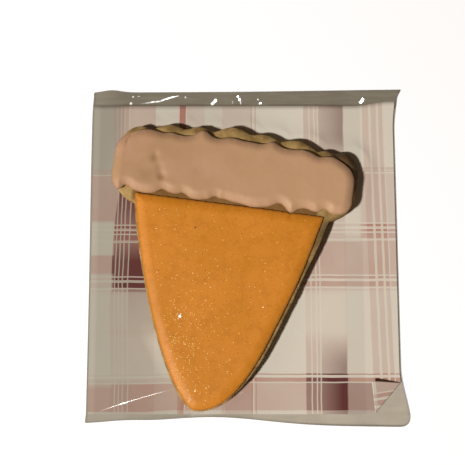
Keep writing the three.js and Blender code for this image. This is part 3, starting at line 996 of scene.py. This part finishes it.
def bag_sides(step=0.5):
    """The four sides of the bag's outline as arrays of points, each from corner to corner."""
    straight, corners = [], []
    for side in range(4):
        x0, y0, r0 = BAG_CORNERS[side]
        x1, y1, r1 = BAG_CORNERS[(side + 1) % 4]
        total = math.hypot(x1 - x0, y1 - y0)
        share = np.linspace(r0 / total, 1 - r1 / total, int(total / step))
        x, y = x0 + (x1 - x0) * share, y0 + (y1 - y0) * share
        pull = side_pull(side, x, y)
        straight.append(np.stack((x - (y1 - y0) / total * pull, y + (x1 - x0) / total * pull), 1))
    for side in range(4):
        before, after = straight[(side + 3) % 4][-1], straight[side][0]
        middle = np.array(BAG_CORNERS[side][:2])
        t = np.linspace(0, 1, 13)[:, None]
        corners.append((1 - t) ** 2 * before + 2 * t * (1 - t) * middle + t * t * after)
    half = 6
    return [np.concatenate((corners[side][half:-1], straight[side], corners[(side + 1) % 4][1:half + 1]))
            for side in range(4)]


def along_side(points, shares):
    lengths = np.concatenate(([0], np.cumsum(np.hypot(*np.diff(points, axis=0).T))))
    at = shares * lengths[-1]
    return np.stack([np.interp(at, lengths, points[:, axis]) for axis in (0, 1)], 1)


def graded(total, pitch):
    """Shares from 0 to 1, a pitch apart in millimetres and closer at both ends."""
    fine = [0, 0.12, 0.25, 0.4, 0.6, 0.85, 1.15, 1.5]
    middle = np.linspace(1.5, total - 1.5, int((total - 3) / pitch) + 1)[1:-1]
    return np.array(fine + list(middle) + [total - value for value in reversed(fine)]) / total


def grid_faces(rows, columns):
    """Numbers of a grid's points, and the faces between them."""
    corner = np.arange(rows * columns).reshape(rows, columns)
    faces = np.stack((corner[:-1, :-1], corner[:-1, 1:], corner[1:, 1:], corner[1:, :-1]), -1)
    return corner, faces.reshape(-1, 4).tolist()


def card_right_edge(y):
    """Right edge of the card, close inside the bag's side."""
    side = bag_sides()[1]
    return np.interp(y, side[:, 1], side[:, 0]) - 0.45


class BISCUIT_OT_card(bpy.types.Operator):
    """Lay the plaid card under the biscuit, one corner folded back over its face"""
    bl_idname = "packed_biscuit.card"
    bl_label = "Plaid card"

    def execute(self, context):
        settings = context.scene.packed_card
        across = np.concatenate((np.arange(0, 0.82, 0.025), np.linspace(0.822, 1, 60)))
        along = np.concatenate((np.linspace(0, 0.115, 45), np.linspace(0.13, 1, 60)))
        share_x, share_y = np.meshgrid(across, along)
        y = CARD_BOTTOM + share_y * (CARD_TOP - CARD_BOTTOM)
        right = card_right_edge(y)
        x = CARD_LEFT + share_x * (right - CARD_LEFT)
        y = y + 1.9 * ramp(x - 44, 16) * ramp(y - 45, 16.5)
        points = np.stack((x.ravel(), y.ravel(), np.full(x.size, CARD_LEVEL)), 1)
        points[:, 2] += 0.05 * (1 + grain(points[:, :2], 22.0, 51))
        shape = points.copy()
        fold_along = FOLD_BOTTOM - FOLD_RIGHT
        fold_along = fold_along / np.hypot(*fold_along)
        beyond = np.array((-fold_along[1], fold_along[0]))
        distance = (points[:, :2] - FOLD_RIGHT) @ beyond
        radius, most = settings.fold_radius / MM, settings.fold_angle
        angle = np.clip(distance / radius, 0, most)
        rest = np.maximum(distance - radius * most, 0)
        forward = radius * np.sin(angle) + rest * math.cos(most)
        turned = distance > 0
        shape[turned, :2] += ((forward - distance)[:, None] * beyond)[turned]
        # The bend curls up and over the face
        shape[turned, 2] += (radius * (1 - np.cos(angle)) + rest * math.sin(most))[turned]
        _, faces = grid_faces(*x.shape)
        mesh = bpy.data.meshes.new("plaid_card_sheet")
        mesh.from_pydata((shape * MM).tolist(), [], faces)
        mesh.polygons.foreach_set("use_smooth", [True] * len(mesh.polygons))
        flat = mesh.attributes.new("print_place", "FLOAT_VECTOR", "POINT")
        flat.data.foreach_set("vector", points.astype(np.float32).ravel())
        piece = new_piece("plaid_card_sheet", mesh, card_finish(settings))
        solidify = piece.modifiers.new("Thickness", "SOLIDIFY")
        solidify.thickness = settings.thickness
        solidify.offset = 1
        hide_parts("card")
        return {"FINISHED"}


def smoothed(field, floor, rounds):
    """Field relaxed towards its neighbours' mean, its border kept, never under floor."""
    for _ in range(rounds):
        mean = (field[:-2, 1:-1] + field[2:, 1:-1] + field[1:-1, :-2] + field[1:-1, 2:]) / 4
        inner = 0.5 * field[1:-1, 1:-1] + 0.5 * mean
        field[1:-1, 1:-1] = np.maximum(inner, floor[1:-1, 1:-1])
    return field


def facets_at(x, y):
    """How far each point lies inside one of the film's small facets, and how bright it is there."""
    share, shine = np.zeros(len(x)), np.zeros(len(x))
    for at, up, long, wide, degrees, bright in GLINTS:
        angle = math.radians(degrees)
        along = (x - at) * math.cos(angle) + (y - up) * math.sin(angle)
        across = -(x - at) * math.sin(angle) + (y - up) * math.cos(angle)
        inside = np.exp(-((along / (long + 0.35)) ** 4) - (across / (wide + 0.3)) ** 4)
        share = np.maximum(share, 1.15 * inside)
        shine = np.maximum(shine, bright * inside ** 2)
    return np.clip(share, 0, 1), shine


def taut_crease(x, y):
    """Height of the crease's sides, its top tilted to mirror the lamp; how near its ends; its shine."""
    start, end = (np.array(point) for point in CREASE)
    length = math.hypot(*(end - start))
    direction = (end - start) / length
    sideways = np.array((-direction[1], direction[0]))
    along = (x - start[0]) * direction[0] + (y - start[1]) * direction[1]
    across = (x - start[0]) * sideways[0] + (y - start[1]) * sideways[1]
    across = across - 0.3 * np.sin(math.pi * np.clip(along / length, 0, 1))
    first, last = mirror_slope(*start), mirror_slope(*end)
    rise = first @ direction
    growth = (last @ direction - rise) / length
    lean = 0.5 * (first + last) @ sideways
    round_over = 0.2 + 1.1 * bell(along, CREASE_BRIGHTEST, 1.8)
    sides = 0.45 * (np.sqrt(across ** 2 + round_over ** 2) - round_over)
    height = 1.25 + rise * along + 0.5 * growth * along ** 2 + lean * across - sides
    ends = 1 - ramp(along, 7.0) * ramp(length - along, 7.0)
    shine = 0.02 + 0.2 * (1 - ends) + 0.7 * bell(along, CREASE_BRIGHTEST, 2.2)
    return np.where((along > -3) & (along < length + 3), height, 0), ends, shine


def film_grid(sides):
    """Points all over the bag between its four sides, closer together in the header."""
    bottom, right, top, left = sides
    u = graded(BAG_WIDTH, 0.42)
    v = graded(BAG_LENGTH, 0.55)
    header = 0.935
    v = np.concatenate((v[v < header], np.linspace(header, v[-9], 42), v[-8:]))
    low, high = along_side(bottom, u), along_side(top[::-1], u)
    first, last = along_side(left[::-1], v)[:, None], along_side(right, v)[:, None]
    uu, vv = (share[..., None] for share in np.meshgrid(u, v))
    corners = (
        (1 - uu) * (1 - vv) * low[0] + uu * (1 - vv) * low[-1]
        + (1 - uu) * vv * high[0] + uu * vv * high[-1])
    return (1 - vv) * low + vv * high + (1 - uu) * first + uu * last - corners


def distance_to(chosen, points):
    """How far each point lies from the nearest chosen one; 0 for the chosen."""
    tree = kdtree.KDTree(int(chosen.sum()))
    for i in np.nonzero(chosen)[0]:
        tree.insert((*points[i], 0), int(i))
    tree.balance()
    return np.array([0.0 if is_in else tree.find((*point, 0))[2] for is_in, point in zip(chosen, points)])


class BISCUIT_OT_film(bpy.types.Operator):
    """Draw the clear film over the biscuit and card and close it behind them"""
    bl_idname = "packed_biscuit.film"
    bl_label = "Film bag"

    def execute(self, context):
        settings = context.scene.packed_film
        sides = bag_sides()
        grid = film_grid(sides)
        rows, columns = grid.shape[:2]
        flat = grid.reshape(-1, 2)
        x, y = flat[:, 0], flat[:, 1]
        fine = np.linspace(0, 1, 2800)
        edge = edge_distance(flat, np.concatenate([along_side(side, fine) for side in sides]))

        # What lies in the bag, and the distance to the biscuit
        food = surface_of([bpy.data.objects[name] for name in (
            "baked_biscuit", "pumpkin_icing_top", "crust_icing_top")])
        food_top = heights_at(food, flat, -1)
        on_food = food_top > 0
        away = distance_to(on_food, flat)

        height = settings.height / MM
        base = height + 2.0 * bell(x, FOLD_TIP[0], 10) * bell(y, FOLD_TIP[1], 9)
        base = base + 0.12 * grain(flat, 7.0, 61) * ramp(edge, 4)
        slice_height = 7.6 + 1.3 * ramp(y - 5, 12)
        reach = np.minimum(settings.drape / MM, 0.85 * (away + edge))
        slope = np.clip(1 - away / np.maximum(reach, 0.01), 0, 1) ** 1.5
        drape = base + (slice_height - base) * slope
        tent, crease_ends, crease_shine = taut_crease(x, y)
        drape = np.maximum(drape, tent)
        in_crease = tent > drape - 0.3
        z = np.where(on_food, np.maximum(food_top + FILM_CLEARANCE, slice_height), drape)
        least = np.where(on_food, food_top + LEAST_CLEARANCE, LEAST_HEIGHT)
        z = smoothed(z.reshape(rows, columns), least.reshape(rows, columns), 8).ravel()
        z = np.where(in_crease, np.maximum(z, tent), z)
        rounding = np.sqrt(1 - (1 - np.clip(edge / RIM_WIDTH, 0, 1)) ** 2)
        z = FILM_BOTTOM + (z - FILM_BOTTOM) * rounding

        corner, faces = grid_faces(rows, columns)
        border = [*corner[0], *corner[1:, -1], *corner[-1, -2::-1], *corner[-2:0:-1, 0]]
        z[border] = FILM_BOTTOM
        mesh = bpy.data.meshes.new("film_bag")
        points = np.stack((x, y, z), 1)
        mesh.from_pydata((points * MM).tolist(), [], faces + [[int(i) for i in reversed(border)]])
        smooth = [True] * len(mesh.polygons)
        smooth[-1] = False
        mesh.polygons.foreach_set("use_smooth", smooth)
        # Painted shade along the rim, stronger at the right side
        side_share = 0.35 + 0.65 * ramp(x, 40)
        set_value(mesh, "rim", 0.65 * side_share * np.exp(-((edge / 0.35) ** 2)))
        cling = 1 - ramp(away - 7, 9.0)
        set_value(mesh, "cling", np.where(in_crease, 0.1 + 0.2 * crease_ends, cling))
        facets, facet_shine = facets_at(x, y)
        shine = np.where(in_crease, crease_shine, 0.03 * (1 - cling))
        set_value(mesh, "shine", np.maximum(facet_shine, shine))
        set_value(mesh, "facet", facets)
        piece = new_piece("film_bag", mesh, film_finish())
        mesh.materials.append(back_film_finish(settings))
        mesh.polygons[-1].material_index = 1
        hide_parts("bag")
        return {"FINISHED"}


class BISCUIT_OT_stage(bpy.types.Operator):
    """Set the floor, the soft light and the camera"""
    bl_idname = "packed_biscuit.stage"
    bl_label = "Stage"

    def execute(self, context):
        scene = context.scene
        settings = scene.packed_stage
        mesh = bpy.data.meshes.new("floor")
        reach = 4.0
        corners = [(-reach, -reach, 0), (reach, -reach, 0), (reach, reach, 0), (-reach, reach, 0)]
        mesh.from_pydata(corners, [], [(0, 1, 2, 3)])
        mesh.materials.append(floor_finish(settings))
        floor = bpy.data.objects.new("floor", mesh)
        scene.collection.objects.link(floor)

        key = bpy.data.lights.new("key", "AREA")
        key.shape = "DISK"
        key.size = 0.28
        key.energy = settings.key
        key.color = (1.0, 0.985, 0.96)
        lamp = bpy.data.objects.new("key", key)
        lamp.location = LAMP
        lamp.rotation_mode = "QUATERNION"
        lamp.rotation_quaternion = LAMP.to_track_quat("Z", "Y")
        scene.collection.objects.link(lamp)

        world = bpy.data.worlds.new("soft_room")
        world.use_nodes = True
        tree = world.node_tree
        tree.nodes.clear()
        fill = add_node(tree, "ShaderNodeBackground", {
            "Color": (1.0, 0.76, 0.52, 1), "Strength": settings.fill}).outputs[0]
        shown = add_node(tree, "ShaderNodeBackground", {
            "Color": (1, 1, 1, 1), "Strength": 1.0}).outputs[0]
        seen = add_node(tree, "ShaderNodeLightPath").outputs["Is Camera Ray"]
        both = add_node(tree, "ShaderNodeMixShader", {0: seen, 1: fill, 2: shown}).outputs[0]
        output = add_node(tree, "ShaderNodeOutputWorld")
        tree.links.new(both, output.inputs["Surface"])
        scene.world = world
        scene.view_settings.view_transform = "Standard"

        lens = bpy.data.cameras.new("camera")
        lens.sensor_width = 36
        lens.lens = 66.79
        lens.clip_start = 0.01
        camera = bpy.data.objects.new("camera", lens)
        camera.location = EYE
        camera.rotation_euler = (math.radians(8), 0, 0)
        scene.collection.objects.link(camera)
        scene.camera = camera
        return {"FINISHED"}


class VIEW3D_PT_packed_biscuit(bpy.types.Panel):
    """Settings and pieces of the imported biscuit"""
    bl_label = "Packed Biscuit"
    bl_space_type = "VIEW_3D"
    bl_region_type = "UI"
    bl_category = "Packed Biscuit"

    def draw(self, context):
        for pointer, operators in PANEL_ROWS:
            box = self.layout.box()
            settings = getattr(context.scene, pointer)
            for name in settings.__annotations__:
                box.prop(settings, name)
            for operator in operators:
                box.operator(operator.bl_idname)


PANEL_ROWS = (
    ("packed_biscuit", (BISCUIT_OT_bake,)),
    ("packed_icing", (BISCUIT_OT_ice, BISCUIT_OT_sprinkle)),
    ("packed_card", (BISCUIT_OT_card,)),
    ("packed_film", (BISCUIT_OT_film,)),
    ("packed_stage", (BISCUIT_OT_stage,)),
)
SETTINGS = {
    "packed_biscuit": BiscuitSettings,
    "packed_icing": IcingSettings,
    "packed_card": CardSettings,
    "packed_film": FilmSettings,
    "packed_stage": StageSettings,
}
CLASSES = (
    *SETTINGS.values(), BISCUIT_OT_bake, BISCUIT_OT_ice, BISCUIT_OT_sprinkle, BISCUIT_OT_card,
    BISCUIT_OT_film, BISCUIT_OT_stage, VIEW3D_PT_packed_biscuit)


def register():
    for each in CLASSES:
        bpy.utils.register_class(each)
    for name, group in SETTINGS.items():
        setattr(bpy.types.Scene, name, PointerProperty(type=group))


def unregister():
    for name in SETTINGS:
        delattr(bpy.types.Scene, name)
    for each in reversed(CLASSES):
        bpy.utils.unregister_class(each)


def main():
    register()
    bpy.ops.packed_biscuit.bake()
    bpy.ops.packed_biscuit.ice()
    bpy.ops.packed_biscuit.sprinkle()
    bpy.ops.packed_biscuit.card()
    bpy.ops.packed_biscuit.film()
    bpy.ops.packed_biscuit.stage()


if __name__ == "__main__":
    main()
